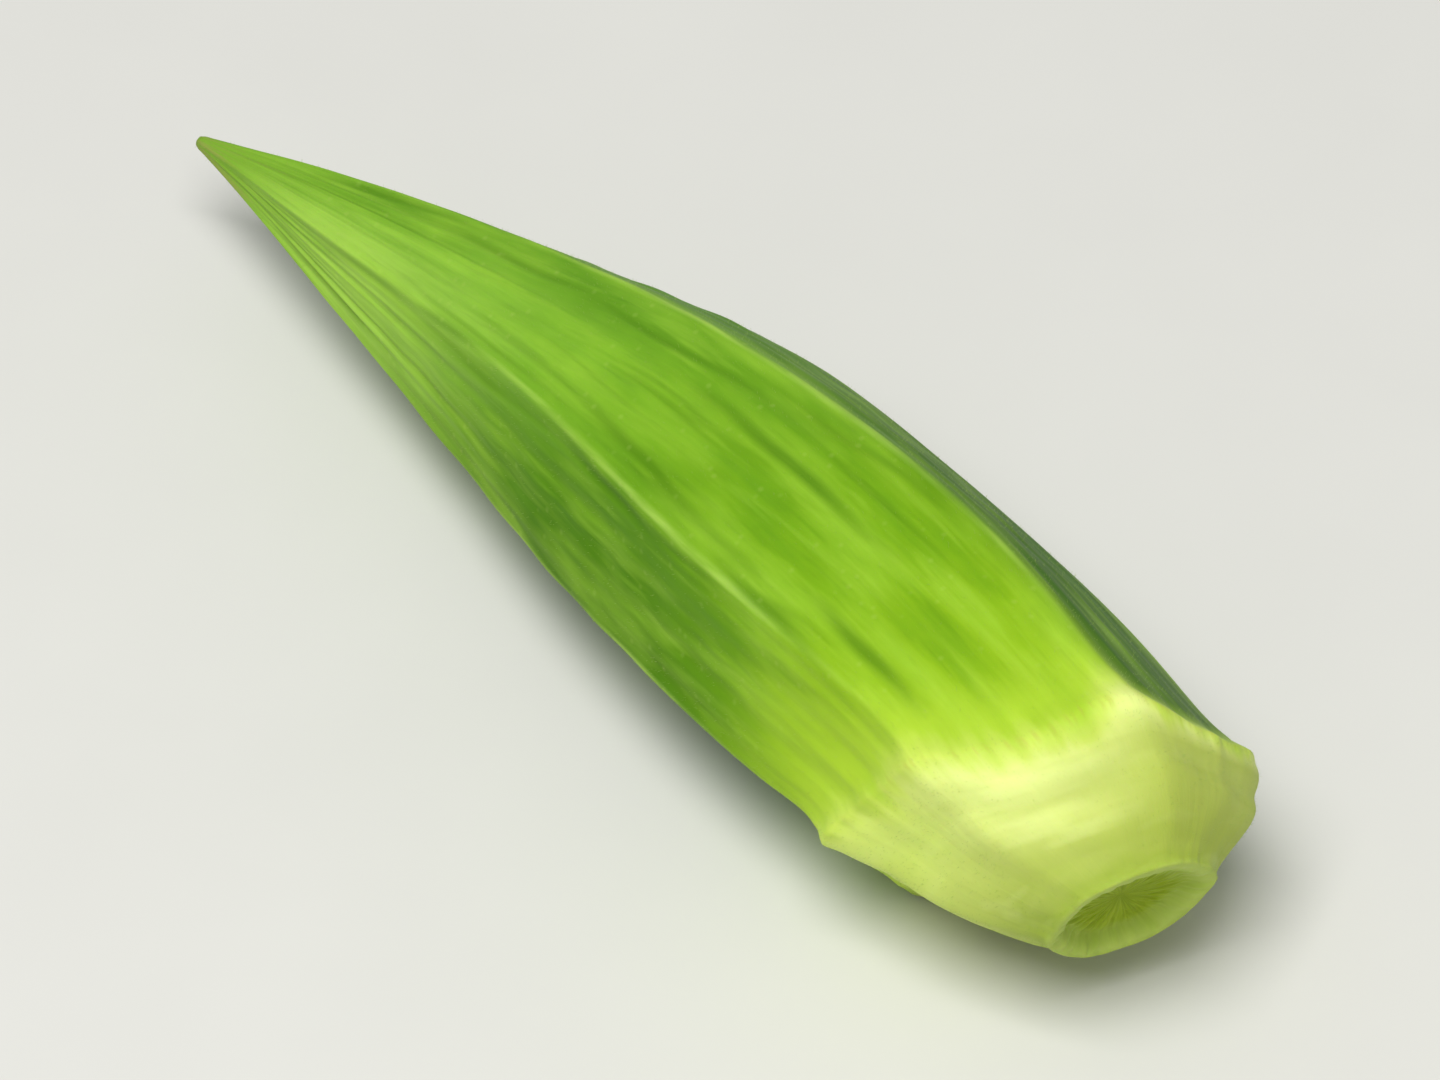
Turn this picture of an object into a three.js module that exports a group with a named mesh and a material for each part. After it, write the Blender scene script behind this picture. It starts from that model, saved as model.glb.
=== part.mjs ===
// An okra pod that lies on its side: one closed solid, from the pointed tip to the cut stem.
// Millimetres, +Z up. +X runs from the tip to the stem, and the pod rests on z = 0.

import * as THREE from 'three';
import { mergeVertices } from 'three/addons/utils/BufferGeometryUtils.js';

// --- Driving dimensions -----------------------------------------------------------------

const podLength = 79;         // from the tip to the cut end of the stem
const podRadius = 10.5;       // over the ridges, at the widest
const tipRadius = 0.55;
const ringAt = 69.8;          // the pale ring where the pod meets its cap
const ringLip = 0.35;         // how far the ring stands out of the pod
const stemAt = 78.2;          // where the cap has narrowed to the stem
const stemRadius = 4.9;
const cutDish = 1.1;          // the cut face is hollowed by this much

// Six ridges, in degrees round the pod from straight up towards +Y.
const ridgeAngles = [17, 79, 153, 207, 255, 313];
const ridgeHeights = [0, 0.01, 0, 0, 0, 0.01];   // as a share of the radius
const ridgeTwists = [4, 8, 0, 0, 6, 0];          // how far each ridge has turned at the ring
const twistFrom = 30;         // distance from the tip where the ridges start to turn
const ridgeRound = 0.22;      // how blunt the ridges are
const ridgeWander = 2.2;      // degrees that a ridge strays along the pod
const wanderLength = 47;      // millimetres from one stray to the next
const ribWidth = 0.11;        // the slim rib in the middle of a face, as a share of the face
const ringWave = 0.5;         // the ring runs nearer to the tip at each ridge, by this much
const ringCorner = 0.03;      // how far its corners stand out, as a share of the radius
const ringReach = 2.2;        // how far along the pod the wave and the corners fade out
const slantTowards = 75;      // the side where the ring runs nearest to the stem, in degrees
const sagTowards = 325;       // on this side too the ring hangs towards the stem, in degrees
const sagWidth = 35;          // and this far round the pod it fades out

// Facets of the solid
const stepsPerFace = 8;
const stepsPerSpan = 3;

// --- Shape along the pod -----------------------------------------------------------------

// Smooth run through a few [distance from the tip, value] stops.
function runThrough(stops, distance) {
  const last = stops.length - 1;
  const passed = stops.filter((stop) => stop[0] <= distance).length;
  const start = THREE.MathUtils.clamp(passed - 1, 0, last - 1);
  const slope = (index) => {
    const before = stops[Math.max(index - 1, 0)];
    const after = stops[Math.min(index + 1, last)];
    return (after[1] - before[1]) / (after[0] - before[0]);
  };
  const [startAt, startValue] = stops[start];
  const [endAt, endValue] = stops[start + 1];
  const span = endAt - startAt;
  const share = THREE.MathUtils.clamp((distance - startAt) / span, 0, 1);
  const rest = 1 - share;
  return THREE.MathUtils.lerp(startValue, endValue, share * share * (3 - 2 * share))
    + slope(start) * span * share * rest * rest
    - slope(start + 1) * span * share * share * rest;
}

// The lie of the pod: it bows sideways, and rests on its belly and on corners of the ring.
const headings = [[0, 9], [30, 1], [48, -3], [66, -5], [79, -10]];   // degrees from +X towards +Y
const heights = [[0, 6.5], [22, 7.3], [42, 8.8], [69, 9.75], [79, 8.9]];

// How far the cross-sections turn and dip from square to the centre line, in degrees.
// The ring is oblique: it runs nearest to the stem on top and on the +Y side.
const sectionTurns = [[40, 0], [56, -8], [70, -18], [79, -6]];
const sectionDips = [[40, 0], [56, -6], [70, -14], [79, -16]];

// Depth of the faces below the ridges, as a share of the radius.
const faceDepths = [
  [0, 0.05], [5, 0.2], [18, 0.17], [38, 0.11], [62, 0.1], [71, 0.09], [75, 0.08], [78, 0.03],
];

// How far the sections slant along the pod, in millimetres: the ring is oblique.
const slants = [[40, 0], [62, 0.9], [69.5, 1.5], [74, 0.7], [77.6, 0]];

// How far the sections hang towards the stem on the side where the ring sags, in millimetres.
const sags = [[60, 0], [66, 0.9], [70, 1.7], [74, 0.7], [77, 0]];

// Height of the slim rib in the middle of each face, as a share of the radius.
const ribHeights = [[0, 0], [5, 0.09], [18, 0.05], [36, 0.012], [62, 0.012], [71, 0.02], [75, 0]];

// Half outline of the pod: radius against distance from the tip.
function podOutline() {
  const at = (distance, radius) => new THREE.Vector2(radius, distance);
  const outline = new THREE.Path();
  outline.moveTo(0, 0);
  outline.splineThru([
    at(0.25, tipRadius * 0.7),
    at(0.9, tipRadius),
    at(4, 1.4),
    at(9, 2.8),
    at(17, 4.75),
    at(27, 7.15),
    at(38, 9.3),
    at(49, 10.3),
    at(60, podRadius),
    at(ringAt - 2.4, podRadius - 0.1),
    at(ringAt, podRadius + ringLip),
  ]);
  outline.splineThru([
    at(ringAt + 1, podRadius - 0.05),
    at(ringAt + 3.6, podRadius - 1.0),
    at(ringAt + 6.2, podRadius - 2.9),
    at(stemAt, stemRadius + 0.4),
    at(podLength, stemRadius),
  ]);
  outline.lineTo(stemRadius - 0.6, podLength - 0.2);
  outline.lineTo(stemRadius * 0.6, podLength - cutDish * 0.75);
  outline.lineTo(0, podLength - cutDish);
  return outline.getPoints(stepsPerSpan).reverse();
}

// --- Shape round the pod -----------------------------------------------------------------

// The angle of a ridge turns and strays a little along the pod.
function ridgeAngle(ridge, distance) {
  const turns = Math.floor(ridge / ridgeAngles.length);
  const index = ridge - turns * ridgeAngles.length;
  const twist = ridgeTwists[index] * THREE.MathUtils.smoothstep(distance, twistFrom, ringAt);
  const wander = ridgeWander * Math.sin(2 * Math.PI * distance / wanderLength + 2.1 * index);
  return ridgeAngles[index] + 360 * turns + twist + wander;
}

// Angle and radius of a point, from the share of the way round and the distance from the tip.
function crossSection(share, distance) {
  const faces = ridgeAngles.length;
  const face = Math.min(Math.floor(share * faces), faces - 1);
  const across = share * faces - face;
  const angle = THREE.MathUtils.lerp(ridgeAngle(face, distance), ridgeAngle(face + 1, distance), across);

  const blunt = (value) => Math.hypot(value, ridgeRound) - ridgeRound;
  const hollow = blunt(Math.sin(Math.PI * across)) / blunt(1);
  const rib = Math.exp(-(((across - 0.5) / ribWidth) ** 2));
  const ringNear = Math.exp(-(((distance - ringAt) / ringReach) ** 2));
  const height = THREE.MathUtils.lerp(ridgeHeights[face], ridgeHeights[(face + 1) % faces], across);
  const scale = 1 + (height + ringCorner * ringNear) * (1 - hollow)
    - runThrough(faceDepths, distance) * hollow
    + runThrough(ribHeights, distance) * rib;
  const slant = Math.cos(THREE.MathUtils.degToRad(angle - slantTowards));
  const aside = THREE.MathUtils.euclideanModulo(angle - sagTowards + 180, 360) - 180;
  const sag = Math.exp(-((aside / sagWidth) ** 2));
  const shift = ringWave * (hollow - 0.5) * ringNear + runThrough(slants, distance) * slant
    + runThrough(sags, distance) * sag;
  return { angle: THREE.MathUtils.degToRad(angle), scale, shift };
}

// --- Centre line -------------------------------------------------------------------------

// A level direction, from its heading in degrees.
function direction(heading) {
  const angle = THREE.MathUtils.degToRad(heading);
  return new THREE.Vector3(Math.cos(angle), Math.sin(angle), 0);
}

// The centre line as a curve, walked from the tip to the stem in equal steps.
function centreLine() {
  const points = [];
  const steps = 80;
  const step = podLength / steps;
  const place = new THREE.Vector3();
  for (let index = 0; index <= steps; index++) {
    const distance = index * step;
    points.push(place.clone().setZ(runThrough(heights, distance)));
    place.addScaledVector(direction(runThrough(headings, distance + step / 2)), step);
  }
  return new THREE.CatmullRomCurve3(points);
}

// Puts a point of the straight pod in its place on the bowed one.
function placeOnPod(line, angle, radius, distance) {
  const centre = line.getPoint(distance / podLength);
  const rise = line.getTangent(distance / podLength).z;
  const heading = runThrough(headings, distance) + runThrough(sectionTurns, distance);
  const dip = Math.tan(THREE.MathUtils.degToRad(runThrough(sectionDips, distance)));
  const forward = direction(heading).setZ(rise + dip).normalize();
  const sideways = new THREE.Vector3(0, 0, 1).cross(forward).normalize();
  const upward = forward.clone().cross(sideways);
  return centre
    .addScaledVector(upward, radius * Math.cos(angle))
    .addScaledVector(sideways, radius * Math.sin(angle));
}

// --- The solid ---------------------------------------------------------------------------

// The outline turned into a plain round body, then shaped and bowed point by point.
// What would lie below z = 0 is flattened to it: the small flats that the pod rests on.
function shapedLathe() {
  const steps = ridgeAngles.length * stepsPerFace;
  const geometry = new THREE.LatheGeometry(podOutline(), steps);
  const position = geometry.attributes.position;
  const rows = position.count / (steps + 1);
  const line = centreLine();
  for (let index = 0; index < position.count; index++) {
    const share = Math.floor(index / rows) / steps % 1;
    const radius = Math.hypot(position.getX(index), position.getZ(index));
    const distance = position.getY(index);
    const { angle, scale, shift } = crossSection(share, distance);
    const along = THREE.MathUtils.clamp(distance + shift, 0, podLength);
    const point = placeOnPod(line, angle, radius * scale, along);
    position.setXYZ(index, point.x, point.y, Math.max(point.z, 0));
  }
  return geometry;
}

// Joins the lathe's seam and ends, and leaves out the triangles that have no width there.
function closedBody(geometry) {
  geometry.deleteAttribute('normal');
  geometry.deleteAttribute('uv');
  const body = mergeVertices(geometry, 1e-4);
  const corners = Array.from(body.index.array);
  const kept = [];
  for (let first = 0; first < corners.length; first += 3) {
    const [a, b, c] = corners.slice(first, first + 3);
    if (a !== b && b !== c && c !== a) kept.push(a, b, c);
  }
  body.setIndex(kept);
  body.computeVertexNormals();
  return body;
}

const geometry = closedBody(shapedLathe());

// The origin is under the middle of the pod, on the surface that it lies on.
geometry.computeBoundingBox();
const middle = geometry.boundingBox.getCenter(new THREE.Vector3());
geometry.translate(-middle.x, -middle.y, -geometry.boundingBox.min.z);

const podSkin = new THREE.MeshStandardMaterial({ color: 0x86b733, roughness: 0.55, metalness: 0 });
const okraPod = new THREE.Mesh(geometry, podSkin);
okraPod.name = 'okra_pod';

const group = new THREE.Group();
group.add(okraPod);

export default group;
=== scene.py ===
"""An okra pod that lies on its side: fine mesh, fuzz and skin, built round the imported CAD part.

The pod is the same formula as the CAD solid, with many more points and the fine forms added: crests on the
ridges, slim ribs, seed swells, wrinkles, creases, a ragged ring, bands round the cap and the grain of the
cut stem. Lengths are in millimetres until a mesh is made, and distances along the pod start at its tip.
"""

import math
import random

import bpy
import numpy as np
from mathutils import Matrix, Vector


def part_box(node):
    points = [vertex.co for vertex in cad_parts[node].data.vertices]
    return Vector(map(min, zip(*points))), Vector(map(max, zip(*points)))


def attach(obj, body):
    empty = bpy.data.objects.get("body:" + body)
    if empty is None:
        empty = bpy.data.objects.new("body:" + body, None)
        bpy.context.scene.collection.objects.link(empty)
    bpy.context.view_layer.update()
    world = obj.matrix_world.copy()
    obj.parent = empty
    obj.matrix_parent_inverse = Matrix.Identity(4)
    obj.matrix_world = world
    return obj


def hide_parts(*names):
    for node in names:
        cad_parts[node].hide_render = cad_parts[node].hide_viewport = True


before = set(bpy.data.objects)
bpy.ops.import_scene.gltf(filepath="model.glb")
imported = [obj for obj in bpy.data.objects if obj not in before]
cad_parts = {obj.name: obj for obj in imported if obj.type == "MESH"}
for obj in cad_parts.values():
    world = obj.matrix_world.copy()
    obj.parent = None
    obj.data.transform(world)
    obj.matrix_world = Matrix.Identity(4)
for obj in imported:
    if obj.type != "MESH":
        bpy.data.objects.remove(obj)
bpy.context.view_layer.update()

MM = 0.001

# --- The pod's driving dimensions, as in the CAD -------------------------------------------

POD_LENGTH = 79  # from the tip to the cut end of the stem
POD_RADIUS = 10.5  # over the ridges, at the widest
TIP_RADIUS = 0.55
RING_AT = 69.8  # the pale ring where the pod meets its cap
RING_LIP = 0.35  # how far the ring stands out of the pod
STEM_AT = 78.2  # where the cap has narrowed to the stem
STEM_RADIUS = 4.9
CUT_DISH = 1.1  # the cut face is hollowed by this much

# Six ridges, in degrees round the pod from straight up towards +Y.
RIDGE_ANGLES = [17, 79, 153, 207, 255, 313]
RIDGE_HEIGHTS = [0, 0.01, 0, 0, 0, 0.01]  # as a share of the radius
RIDGE_TWISTS = [4, 8, 0, 0, 6, 0]  # how far each ridge has turned at the ring
TWIST_FROM = 30  # distance from the tip where the ridges start to turn
RIDGE_ROUND = 0.22  # how blunt the ridges are
RIDGE_WANDER = 2.2  # degrees that a ridge strays along the pod
WANDER_LENGTH = 47  # from one stray to the next
WANDER_LAG = 2.1  # radians by which each ridge strays out of step with the last one
RIB_WIDTH = 0.11  # the rib in the middle of a face, as a share of the face
RING_WAVE = 0.5  # the ring runs nearer to the tip at each ridge, by this much
RING_CORNER = 0.03  # how far its corners stand out, as a share of the radius
RING_REACH = 2.2  # how far along the pod the wave and the corners fade out
SLANT_TOWARDS = 75  # the side where the ring runs nearest to the stem, in degrees
SAG_TOWARDS = 325  # on this side too the ring hangs towards the stem, in degrees
SAG_WIDTH = 35  # and this far round the pod it fades out

# Stops of (distance from the tip, value). Headings, turns and dips are in degrees, heights, slants and sags
# in millimetres, and face depths and rib heights are shares of the radius.
HEADINGS = [(0, 9), (30, 1), (48, -3), (66, -5), (79, -10)]
HEIGHTS = [(0, 6.5), (22, 7.3), (42, 8.8), (69, 9.75), (79, 8.9)]
SECTION_TURNS = [(40, 0), (56, -8), (70, -18), (79, -6)]
SECTION_DIPS = [(40, 0), (56, -6), (70, -14), (79, -16)]
SLANTS = [(40, 0), (62, 0.9), (69.5, 1.5), (74, 0.7), (77.6, 0)]
SAGS = [(60, 0), (66, 0.9), (70, 1.7), (74, 0.7), (77, 0)]
FACE_DEPTHS = [
    (0, 0.05), (5, 0.2), (18, 0.17), (38, 0.11), (62, 0.1), (71, 0.09), (75, 0.08), (78, 0.03),
]
RIB_HEIGHTS = [(0, 0), (5, 0.09), (18, 0.05), (36, 0.012), (62, 0.012), (71, 0.02), (75, 0)]

# --- Fineness of the mesh ------------------------------------------------------------------

STEPS_PER_FACE = 56
ROWS_ON_BODY = 205
ROWS_ON_CAP = 52
ROWS_ON_CUT = 20
CURVE_SAMPLES = 4000  # points that a curve is measured by
LINE_STEP = 0.25  # step along the centre line

# --- Fine forms ----------------------------------------------------------------------------

# Uneven waves: a seed, how many, and from how few to how many times each one goes round the pod, and then
# along 100 mm of it.
RIPPLES = {
    "knots": (3, 10, (0, 0), (8, 22)),
    "swell": (5, 14, (1, 5), (1.5, 5)),
    "wrinkle": (7, 46, (34, 95), (0.4, 4.5)),
    "fold": (11, 30, (12, 34), (1, 7)),
    "vein": (13, 40, (26, 80), (0.5, 9)),
    "lump": (17, 24, (3, 14), (6, 26)),
    "grain": (19, 40, (18, 52), (1, 12)),
    "ragged": (23, 30, (9, 48), (0, 0)),
    "lobe": (29, 12, (2, 9), (0, 0)),
    "fibre": (31, 40, (12, 46), (10, 90)),
    "band_edge": (37, 9, (1, 7), (0, 0)),
}
RIPPLE_HEIGHT = 1.5  # what counts as the height of many waves, in times their root mean square
SWELL_HEIGHT = 0.08
WRINKLE_HEIGHT = 0.010
FOLD_HEIGHT = 0.03
VEIN_HEIGHT = 0.006
LUMP_HEIGHT = 0.05
GRAIN_HEIGHT = 0.012
FIBRE_HEIGHT = 0.045
BODY_SINK = 0.03  # keeps the body's mean size, with all that is added to it
BODY_START = (2, 9)  # where the body's fine forms fade in
TIP_END = (12, 34)  # and where what only the tip has fades out

# Crests, furrows and ribs run along each face. Their places and widths are shares of the face.
CREST_HEIGHT = 0.12
CREST_WIDTH = 0.035
CREST_KNOTS = 0.2  # how uneven the crests are
FURROW_DEPTH = 0.07
FURROW_AT = 0.1
FURROW_WIDTH = 0.035
SIDE_RIBS = [(0.26, 1.0, 0.035), (0.40, 0.8, 0.03)]  # place, share of the height, and width
SIDE_RIB_HEIGHT = 0.03
SIDE_RIB_NEAR_TIP = 0.11  # what they gain towards the tip
CAP_CREST_HEIGHT = 0.05
CAP_CREST_WIDTH = 0.08

SEED_HEIGHT = 0.05
SEED_SPACING = 4.9
SEED_WIDTH = 0.2  # as a share of the face
SEED_LAG = 1.7  # radians by which each face's row of seeds is out of step with the last one's
SEEDS_START = (14, 24)
SEEDS_END = (58, 66)

# The deepest creases: place round the pod, in faces from the first ridge, and where each starts and ends.
CREASES = [
    (5.65, 42, 56),
    (5.18, 36, 50),
    (4.92, 37, 48),
    (5.05, 52, 61),
    (5.19, 58, 67),
    (1.35, 40, 54),
    (2.7, 30, 44),
]
CREASE_DEPTH = 0.12
CREASE_WIDTH = 0.42
CREASE_DRIFT = -0.0045  # in faces for each millimetre along the pod
CREASE_WAVE = 0.006  # how far they wave from side to side, in faces
CREASE_WAVE_TURN = 0.9  # radians of that wave for each millimetre along the pod

# Slimmer grooves at random places.
GROOVE_COUNT = 90
GROOVE_LENGTH = (5, 18)
GROOVE_WIDTH = (0.16, 0.36)
GROOVE_SHARES = (0.3, 0.75)  # of the depth of a crease
GROOVES_BY_RIDGES = 0.6  # the share of them that lies close beside a ridge
GROOVE_BESIDE = (0.06, 0.22)  # and how close, in faces
GROOVE_STRAY = 0.02  # in faces
GROOVE_SEED = 53

# The ragged lip of the ring, and the scar before it.
LIP_REACH = 0.8
LIP_RAGGED = 0.04
LIP_LOBES = 0.08
LIP_SHIFT_REACH = 1.6
LIP_SHIFT_RAGGED = 0.08
LIP_SHIFT_LOBES = 0.25
SCAR_DEPTH = 0.06
SCAR_BEFORE = 1.1
SCAR_WIDTH = 0.4

# Bands round the cap: distance past the ring, height and width. Rings of the cut: share of the radius,
# height and width.
CAP_BANDS = [(1.5, 0.10, 0.8), (3.3, -0.20, 0.8), (5.4, 0.14, 1.2)]
BAND_UNEVEN = 0.4
CUT_RINGS = [(0.84, 0.10, 0.07), (0.70, -0.14, 0.06), (0, -0.16, 0.22)]
CUT_PROUD = 0.25  # the most that anything stands out past the cut end
CUT_EDGE = 0.12  # how far the rounded edge of the cut reaches along the stem

# --- Fuzz ----------------------------------------------------------------------------------

HAIR_COUNT = 11000
HAIR_LENGTH = (0.08, 0.22)
HAIR_RADIUS = 0.007
HAIR_THICKNESS = (0.8, 1.2)  # times the radius
HAIR_TAPER = 0.65  # what is left of the radius at the bend
HAIR_BEND_AT = 0.55  # as a share of the length
HAIR_LEAN = (-0.1, 0.5)  # towards the tip, for each part of it that stands out
HAIR_STRAY = 0.25  # how far it leans any other way
HAIR_BEND = 0.132  # how far it bends any way, and towards the tip
HAIR_BEND_TIPWARD = 0.12
HAIR_ROOT = 0.04  # how deep the roots are sunk
HAIR_CLEAR = 0.6  # no hair grows lower than this
HAIR_DENSITY = 0.55  # on plain skin, and what is added on the crests and on the cap
HAIR_ON_CRESTS = 1.1
HAIR_ON_CAP = 0.9
HAIR_SEED = 41

# --- Colours, in sRGB of 0 to 255 ----------------------------------------------------------

# The skin, by how far from the tip it grew, counted on across the cut face.
SKIN_LENGTH = 85.0
SKIN_COLOURS = [
    (0, (140, 160, 70)),
    (3, (124, 170, 50)),
    (10, (134, 182, 56)),
    (22, (136, 186, 58)),
    (34, (123, 175, 42)),
    (46, (112, 161, 25)),
    (58, (121, 168, 21)),
    (65, (143, 185, 29)),
    (68.6, (172, 208, 54)),
    (70.2, (204, 226, 98)),
    # From here to 74.8 the stops paint the light and shade of the ring's lip and the bands behind it: a
    # pale rim, partly the ring's own colour and partly a painted highlight, painted shade at 73.4 and
    # painted light at 74.8.
    (71.2, (226, 238, 142)),
    (72.2, (226, 238, 146)),
    (73.4, (206, 219, 122)),
    (74.8, (212, 225, 126)),
    (76.4, (192, 208, 100)),
    (77.8, (170, 190, 78)),
    (78.8, (158, 180, 66)),
    (79.2, (190, 208, 104)),
    (79.6, (170, 192, 82)),
    (80.4, (146, 168, 26)),
    (82.6, (138, 160, 20)),
    (83.9, (154, 176, 46)),
]

# Tints that are laid over it, in this order. Left and right are as seen from the stem: right is +Y.
TINTS = {
    # Painted shade on the left flank, its underside and the right side.
    "left_painted_shade": (78, 130, 0),
    "left_underside_painted_shade": (48, 94, 0),
    "right_side_painted_shade": (46, 92, 0),
    # Painted light on the tip's left, and painted shade on its top.
    "left_of_tip_painted_light": (178, 216, 96),
    "top_of_tip_painted_shade": (84, 136, 26),
    "pale_blotch": (156, 202, 62),
    "deep_blotch": (88, 142, 20),
    "pale_streak": (164, 208, 74),
    "deep_streak": (70, 120, 10),
    "fine_streak": (62, 106, 14),
    # A painted highlight along the ridges, and painted shade in the creases and grooves.
    "crest": (176, 212, 96),
    "groove": (64, 112, 6),
    "mottle": (66, 108, 18),
    "pore": (190, 212, 110),
    "spot": (96, 92, 24),
    "scar": (170, 150, 76),
    "deep_band": (190, 205, 104),
    "pale_band": (228, 240, 154),
    # Painted shade on the cap's right side.
    "right_of_cap_painted_shade": (166, 183, 72),
    "left_of_ring": (178, 214, 54),
    # Painted light on the cap's left.
    "left_of_cap_painted_light": (210, 236, 98),
    "deep_ray": (106, 128, 8),
    "pale_ray": (178, 198, 70),
}

HAIR_TINTS = [(124, 164, 56), (180, 202, 104)]
FLOOR_TINTS = [(213, 213, 211), (215, 215, 213)]
NOISE_ROUGHNESS = 0.55

# --- Camera, light and floor, in degrees, metres and watts ---------------------------------

CAMERA_AZIMUTH = 49.5
CAMERA_ELEVATION = 46
CAMERA_DISTANCE = 1.1
CAMERA_LENS = 510  # in millimetres, as the sensor is
CAMERA_SENSOR = 36
CAMERA_CLIP = (0.01, 20)
KEY_RIGHT = -0.06  # from the pod: to the eye's right, away from the eye, and up
KEY_AWAY = -0.228
KEY_UP = 0.57
KEY_SIZE = 0.35
KEY_POWER = 3.75
KEY_COLOUR = (1.0, 0.985, 0.95)
FILL_STRENGTH = 0.36
FILL_COLOUR = (0.98, 1.0, 0.96, 1.0)
SEEN_STRENGTH = 0.95
SEEN_COLOUR = (1.0, 1.0, 1.0, 1.0)
FLOOR_SIZE = 6.0
FLOOR_GAP = 0.00005  # keeps the floor apart from the flats that the pod lies on


# --- Shape along the pod -------------------------------------------------------------------


def run_through(stops, distance):
    """Smooth run through a few (distance from the tip, value) stops."""
    places = np.array([stop[0] for stop in stops], float)
    values = np.array([stop[1] for stop in stops], float)
    slopes = np.empty(len(stops))
    slopes[1:-1] = (values[2:] - values[:-2]) / (places[2:] - places[:-2])
    slopes[0] = (values[1] - values[0]) / (places[1] - places[0])
    slopes[-1] = (values[-1] - values[-2]) / (places[-1] - places[-2])
    start = np.clip(np.searchsorted(places, distance, side="right") - 1, 0, len(stops) - 2)
    span = places[start + 1] - places[start]
    share = np.clip((distance - places[start]) / span, 0, 1)
    rest = 1 - share
    ease = share * share * (3 - 2 * share)
    return (
        values[start] + (values[start + 1] - values[start]) * ease
        + slopes[start] * span * share * rest * rest
        - slopes[start + 1] * span * share * share * rest
    )


def smooth(value, low, high):
    """0 below low, 1 above high, and a soft step between."""
    share = np.clip((value - low) / (high - low), 0, 1)
    return share * share * (3 - 2 * share)


def hill(value, centre, reach):
    """A bell of height 1."""
    return np.exp(-(((value - centre) / reach) ** 2))


def spline_through(points, count):
    """count + 1 points on the Catmull-Rom curve through points, evenly shared among its spans."""
    padded = np.array([points[0], *points, points[-1]], float)
    place = np.linspace(0, len(points) - 1, count + 1)
    start = np.minimum(place.astype(int), len(points) - 2)
    share = (place - start)[:, None]
    before, here, there, beyond = (padded[start + step] for step in range(4))
    leave = (there - before) / 2
    arrive = (beyond - here) / 2
    cubic = 2 * here - 2 * there + leave + arrive
    square = -3 * here + 3 * there - 2 * leave - arrive
    return cubic * share**3 + square * share**2 + leave * share + here


def even_rows(points, count):
    """count + 1 (distance, radius) rows on the curve through points, at even steps along it."""
    fine = spline_through(points, CURVE_SAMPLES)
    walked = np.concatenate([[0], np.cumsum(np.linalg.norm(np.diff(fine, axis=0), axis=1))])
    wanted = np.linspace(0, walked[-1], count + 1)
    return np.stack([np.interp(wanted, walked, fine[:, axis]) for axis in (0, 1)], axis=1)


def pod_outline():
    """Rows of (distance from the tip, radius), from the tip to the middle of the cut face."""
    body = even_rows([
        (0, 0),
        (0.25, TIP_RADIUS * 0.7),
        (0.9, TIP_RADIUS),
        (4, 1.4),
        (9, 2.8),
        (17, 4.75),
        (27, 7.15),
        (38, 9.3),
        (49, 10.3),
        (60, POD_RADIUS),
        (RING_AT - 2.4, POD_RADIUS - 0.1),
        (RING_AT, POD_RADIUS + RING_LIP),
    ], ROWS_ON_BODY)
    cap = even_rows([
        (RING_AT, POD_RADIUS + RING_LIP),
        (RING_AT + 1, POD_RADIUS - 0.05),
        (RING_AT + 3.6, POD_RADIUS - 1.0),
        (RING_AT + 6.2, POD_RADIUS - 2.9),
        (STEM_AT, STEM_RADIUS + 0.4),
        (POD_LENGTH - CUT_EDGE, STEM_RADIUS),
    ], ROWS_ON_CAP)
    cut = even_rows([
        (POD_LENGTH - CUT_EDGE, STEM_RADIUS),
        (POD_LENGTH, STEM_RADIUS - 0.15),
        (POD_LENGTH - 0.2, STEM_RADIUS - 0.6),
        (POD_LENGTH - CUT_DISH * 0.75, STEM_RADIUS * 0.6),
        (POD_LENGTH - CUT_DISH, 0),
    ], ROWS_ON_CUT)
    return np.concatenate([body, cap[1:], cut[1:]])


# --- Shape round the pod -------------------------------------------------------------------


def ripples(name, angle, distance):
    """Uneven waves of about height 1 that close on themselves round the pod."""
    seed, waves, round_pod, along_pod = RIPPLES[name]
    draw = random.Random(seed)
    total = np.zeros(np.broadcast(angle, distance).shape)
    for _ in range(waves):
        turns = draw.randint(*round_pod)
        climb = draw.uniform(*along_pod) * 2 * math.pi / 100 * draw.choice((-1, 1))
        total += np.sin(turns * angle + climb * distance + draw.uniform(0, 2 * math.pi))
    return total / math.sqrt(waves / 2) / RIPPLE_HEIGHT


def ridge_angle(ridge, distance):
    """The angle of a ridge, in degrees: it turns and strays a little along the pod."""
    count = len(RIDGE_ANGLES)
    index = ridge % count
    twist = np.array(RIDGE_TWISTS)[index] * smooth(distance, TWIST_FROM, RING_AT)
    wander = RIDGE_WANDER * np.sin(2 * math.pi * distance / WANDER_LENGTH + WANDER_LAG * index)
    return np.array(RIDGE_ANGLES)[index] + 360 * (ridge // count) + twist + wander


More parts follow.
